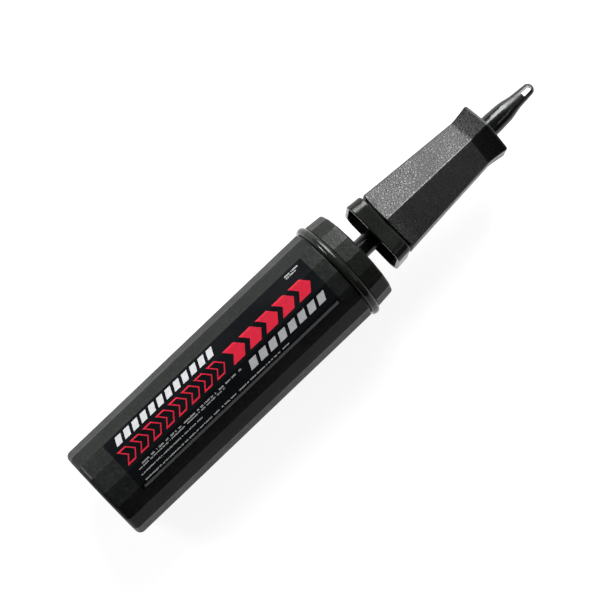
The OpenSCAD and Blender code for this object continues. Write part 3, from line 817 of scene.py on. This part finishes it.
def label_print(name):
    """A glossy film printed with slanted bars, chevrons and dashes, all of them made up, and a grey band
    along its right edge, a painted reflection.
    """
    sh = Shader(name)
    axes = sh.add("ShaderNodeSeparateXYZ")
    sh.put(axes.inputs[0], sh.object)
    m = sh.math
    s = m("MULTIPLY", m("SUBTRACT", axes.outputs["X"], BASE_X), 1000.0)
    turn = m("ARCTAN2", m("MULTIPLY", axes.outputs["Y"], -1.0), m("SUBTRACT", axes.outputs["Z"], AXIS_Z))
    u = m("MULTIPLY", turn, FLAT_MOUTH)

    def between(v, low, high):
        return m("MULTIPLY", m("GREATER_THAN", v, low), m("LESS_THAN", v, high))

    def box(s0, s1, u0, u1):
        return m("MULTIPLY", between(s, s0, s1), between(u, u0, u1))

    def repeat(along, s0, pitch, width, count):
        """Bars `width` long every `pitch`, `count` of them, counted along a slanted or bent line."""
        from_start = m("SUBTRACT", along, s0)
        within = between(from_start, 0.0, pitch * count)
        into_bar = m("MODULO", m("ADD", from_start, pitch * 8), pitch)
        return m("MULTIPLY", within, m("LESS_THAN", into_bar, width))

    def slanted(s0, pitch, width, count, u0, u1, slant=-0.45):
        """A row of leaning bars between u0 and u1."""
        along = m("SUBTRACT", s, m("MULTIPLY", m("SUBTRACT", u, u0), slant))
        return m("MULTIPLY", between(u, u0, u1), repeat(along, s0, pitch, width, count))

    def chevrons(s0, pitch, width, count, u0, u1, reach=0.85):
        """A row of arrow-like bars between u0 and u1, pointing along the axis."""
        along = m("ADD", s, m("MULTIPLY", m("ABSOLUTE", m("SUBTRACT", u, (u0 + u1) / 2)), reach))
        return m("MULTIPLY", between(u, u0, u1), repeat(along, s0, pitch, width, count))

    def dashes(u0, u1, s0, s1, scale, gap=0.42):
        """A fine row of uneven dashes; u0 makes each row its own."""
        strip = sh.add("ShaderNodeCombineXYZ")
        sh.put(strip.inputs[0], s)
        strip.inputs[1].default_value = u0 * 7
        node = sh.add("ShaderNodeTexNoise")
        sh.put(node.inputs["Vector"], strip.outputs[0])
        node.inputs["Scale"].default_value = scale
        node.inputs["Detail"].default_value = 1
        return m("MULTIPLY", box(s0, s1, u0, u1), m("GREATER_THAN", node.outputs["Fac"], gap))

    def either(*masks):
        out = masks[0]
        for mask in masks[1:]:
            out = m("MAXIMUM", out, mask)
        return out

    low_bars = slanted(24, 5.6, 3.7, 12, -17.4, -12.6)
    outline = m("SUBTRACT", chevrons(23, 8.6, 5.4, 8, -10.2, -1.8), chevrons(23.8, 8.6, 3.8, 8, -9.4, -2.6))
    outline = m("MAXIMUM", outline, 0.0)
    bold = chevrons(94.5, 11.2, 7.6, 5, -10.4, -1.6)
    bars = slanted(97.5, 6.6, 4.6, 8, 1.6, 6.2)
    red = either(outline, bold)
    grey = either(low_bars, bars)
    fine = either(dashes(1.5, 2.3, 22, 92, 0.62), dashes(2.9, 3.5, 22, 80, 0.8),
                  dashes(5.7, 6.3, 21, 62, 0.8), dashes(8.8, 9.4, 21, 118, 0.75),
                  dashes(-17.2, -16.4, 139, 148, 0.9), dashes(-15.9, -15.2, 139, 146, 0.9))
    # painted reflection: a grey band along the right edge, where the film catches a light
    reflection_band = box(18.5, 150, 10.6, 12.2)
    base = sh.mix(sh.ramp(sh.noise(60, 4), 0.3, 0.7), (0.0022, 0.0026, 0.0032), (0.0036, 0.0042, 0.005))
    ink = sh.ramp(sh.noise(500, 3), 0.25, 0.75, 0.86, 1.0)
    color = sh.mix(m("MULTIPLY", reflection_band, 0.9), base, (0.1, 0.101, 0.103))
    color = sh.mix(m("MULTIPLY", fine, 0.55), color, (0.36, 0.36, 0.36))
    color = sh.mix(m("MULTIPLY", grey, ink), color, (0.33, 0.335, 0.345))
    color = sh.mix(m("MULTIPLY", red, ink), color, (0.37, 0.011, 0.027))
    print_height = either(red, grey, m("MULTIPLY", fine, 0.5))
    rough = m("ADD", sh.ramp(sh.noise(35, 4), 0.3, 0.7, 0.15, 0.22), m("MULTIPLY", print_height, 0.05))
    normal = sh.bump(sh.noise(30, 3), 0.0004, 0.25)
    normal = sh.bump(print_height, 0.00002, 0.35, under=normal)
    return sh.done(color, rough, normal, Specular_IOR_Level=0.2)


def floor_paper(name):
    sh = Shader(name)
    color = sh.mix(sh.ramp(sh.noise(3, 3), 0.3, 0.7), (0.22, 0.22, 0.22), (0.24, 0.24, 0.24))
    return sh.done(color, 0.7, sh.bump(sh.noise(240, 2), 0.0001, 0.1), Specular_IOR_Level=0.1,
                   Emission_Color=(1, 1, 1, 1), Emission_Strength=0.9)


BARREL = moulded("barrel_plastic", (0.0055, 0.0063, 0.0058), (0.0081, 0.009, 0.0083), 0.39,
                 grain=0.5, grain_mm=0.8, relief=0.09, shine=0.105)
CAP_TONES = (0.005, 0.0059, 0.0049), (0.0075, 0.0086, 0.0073)
CAP = moulded("cap_plastic", *CAP_TONES, 0.38, grain=0.5, grain_mm=0.8, relief=0.1, shine=0.125,
              edge_highlight_share=0.1, polish=0.2)
BEAD = moulded("bead_plastic", *CAP_TONES, 0.24, grain=0.1, grain_mm=0.8, relief=0.02, shine=0.2,
               edge_highlight_share=0.1, wave=0.1)
COLLAR = moulded("collar_plastic", (0.0045, 0.0056, 0.0045), (0.007, 0.0082, 0.0068), 0.24,
                 grain=0.12, shine=0.2, edge_highlight_share=0.1, polish=0.06)
END = moulded("end_plastic", (0.009, 0.0098, 0.0094), (0.013, 0.014, 0.0135), 0.34, grain=0.15, shine=0.22)
# the nozzle's tip is marked too, and the negative polish dulls it
NOZZLE = moulded("nozzle_plastic", (0.004, 0.0044, 0.0047), (0.006, 0.0064, 0.0068), 0.13, grain=0.04,
                 grain_mm=0.6, relief=0.002, shine=0.34, edge_highlight_share=0, polish=-0.26, wave=0.0)
ROD = moulded("rod_plastic", (0.006, 0.0064, 0.0064), (0.009, 0.0094, 0.0094), 0.22, grain=0.06, grain_mm=0.5,
              relief=0.003, shine=0.4, wave=0.0)
INNER = moulded("inner_plastic", (0.05, 0.052, 0.05), (0.065, 0.067, 0.065), 0.5)
GRIP = leather_grain("grip_leather", (0.009, 0.0082, 0.0087), (0.014, 0.0127, 0.0136), (0.005, 0.0046, 0.005),
                     0.55, 0.34, 0.65)
# the grip's flare: smoother and less grained, and painted darker than the grip, a painted shade where it
# faces away from the light
FLARE = leather_grain("flare_leather", (0.0052, 0.0054, 0.0052), (0.0066, 0.0068, 0.0066),
                      (0.003, 0.0034, 0.0032), 0.39, 0.18, 0.27, relief=0.45)
RUBBER = rubber("soft_rubber")
STEEL = steel("screw_steel")
LABEL = label_print("label_print")

# ---------------------------------------------------------------- the object

PIECES = [
    # build, rides on, stands for, record's slot, material
    (build_barrel, "barrel", "barrel", "barrel_plastic", BARREL),
    (build_label, "barrel", "label", "label_film", LABEL),
    (build_cap, "barrel", "cap", "cap_plastic", CAP),
    (build_collar, "plunger", "handle_collar", "collar_plastic", COLLAR),
    (build_grip, "plunger", "handle_grip", "grip_plastic", GRIP),
    (build_end_rim, "plunger", "handle_end_cap", "collar_plastic", END),
    (build_nozzle, "plunger", "nozzle", "nozzle_plastic", NOZZLE),
    (build_rod, "plunger", "rod", "rod_plastic", ROD),
]
# bands of a piece with a finish of their own, the flare's also painted darker as a painted shade: material,
# from and to along the axis
BANDS = {"grip_shell": (FLARE, WAIST - 1.0, HANDLE_TOP), "cap_body": (BEAD, MOUTH + 0.5, MOUTH + 5.2)}
for build, body, node, slot, material in PIECES:
    piece = build()
    piece.data.materials.clear()
    piece.data.materials.append(material)
    if piece.name in BANDS:
        finish, low, high = BANDS[piece.name]
        piece.data.materials.append(finish)
        for face in piece.data.polygons:
            face.material_index = int(low < (face.center.x - BASE_X) / MM < high)
    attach(piece, body)
    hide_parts(node)

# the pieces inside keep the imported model's shapes, with these materials
SLOT_MATERIALS = {"inner_plastic": INNER, "soft_rubber": RUBBER, "screw_steel": STEEL,
                  "barrel_plastic": BARREL, "cap_plastic": CAP, "collar_plastic": COLLAR,
                  "grip_plastic": GRIP, "nozzle_plastic": NOZZLE, "rod_plastic": ROD, "label_film": LABEL}
SLOT_OF = {part["node"]: part["material_slot"] for part in frame["record"]["subparts"]}
for node, ob in frame["nodes"].items():
    for i in range(len(ob.material_slots)):
        ob.material_slots[i].material = SLOT_MATERIALS[SLOT_OF[node]]

# ---------------------------------------------------------------- floor, light and camera

bpy.ops.mesh.primitive_plane_add(size=6, location=(0, 0, 0))
floor = bpy.context.object
floor.name = "floor"
floor.data.materials.append(floor_paper("floor_paper"))


LIT = Vector((0, 0, 0.03))


def soft_box(name, at, width, height, watts):
    """A white area light at `at`, turned to the object."""
    data = bpy.data.lights.new(name, "AREA")
    data.shape = "RECTANGLE"
    data.size, data.size_y = width, height
    data.energy = watts
    ob = bpy.data.objects.new(name, data)
    bpy.context.scene.collection.objects.link(ob)
    ob.location = at
    ob.rotation_euler = (LIT - Vector(at)).to_track_quat("-Z", "Y").to_euler()


soft_box("key", (0.92, 1.18, 0.95), 0.95, 1.3, 84)
soft_box("side", (-0.1, 1.5, 0.5), 1.0, 0.4, 0.8)
soft_box("top", (1.0, 0.4, 1.6), 0.7, 0.6, 1.2)
soft_box("strip", (0.85, -0.8, 1.3), 0.8, 0.12, 1.5)
soft_box("low", (-1.0, 1.35, 0.65), 0.5, 0.35, 22)

world = bpy.data.worlds.new("studio")
world.use_nodes = True
background = world.node_tree.nodes["Background"]
background.inputs["Color"].default_value = (1, 1, 1, 1)
# the room is dim for the light on the object, and pale where it is seen past the floor
seen = world.node_tree.nodes.new("ShaderNodeLightPath")
strength = world.node_tree.nodes.new("ShaderNodeMapRange")
strength.inputs["To Min"].default_value = 0.03
strength.inputs["To Max"].default_value = 0.9
world.node_tree.links.new(seen.outputs["Is Camera Ray"], strength.inputs["Value"])
world.node_tree.links.new(strength.outputs["Result"], background.inputs["Strength"])
bpy.context.scene.world = world
bpy.context.scene.view_settings.view_transform = "Standard"

cam_data = bpy.data.cameras.new("camera")
cam_data.sensor_width = 36
cam_data.lens = 151
camera = bpy.data.objects.new("camera", cam_data)
bpy.context.scene.collection.objects.link(camera)
camera.location = (BASE_X + 0.0185, 0.0009, AXIS_Z + 1.262)
aim = Vector((-0.0113, 0.0026, AXIS_Z))
forward = (aim - camera.location).normalized()
right = forward.cross(Vector((0.692, 0.722, 0))).normalized()
up = right.cross(forward)
rows = [(right[i], up[i], -forward[i], camera.location[i]) for i in range(3)] + [(0, 0, 0, 1)]
camera.matrix_world = Matrix(rows)
bpy.context.scene.camera = camera
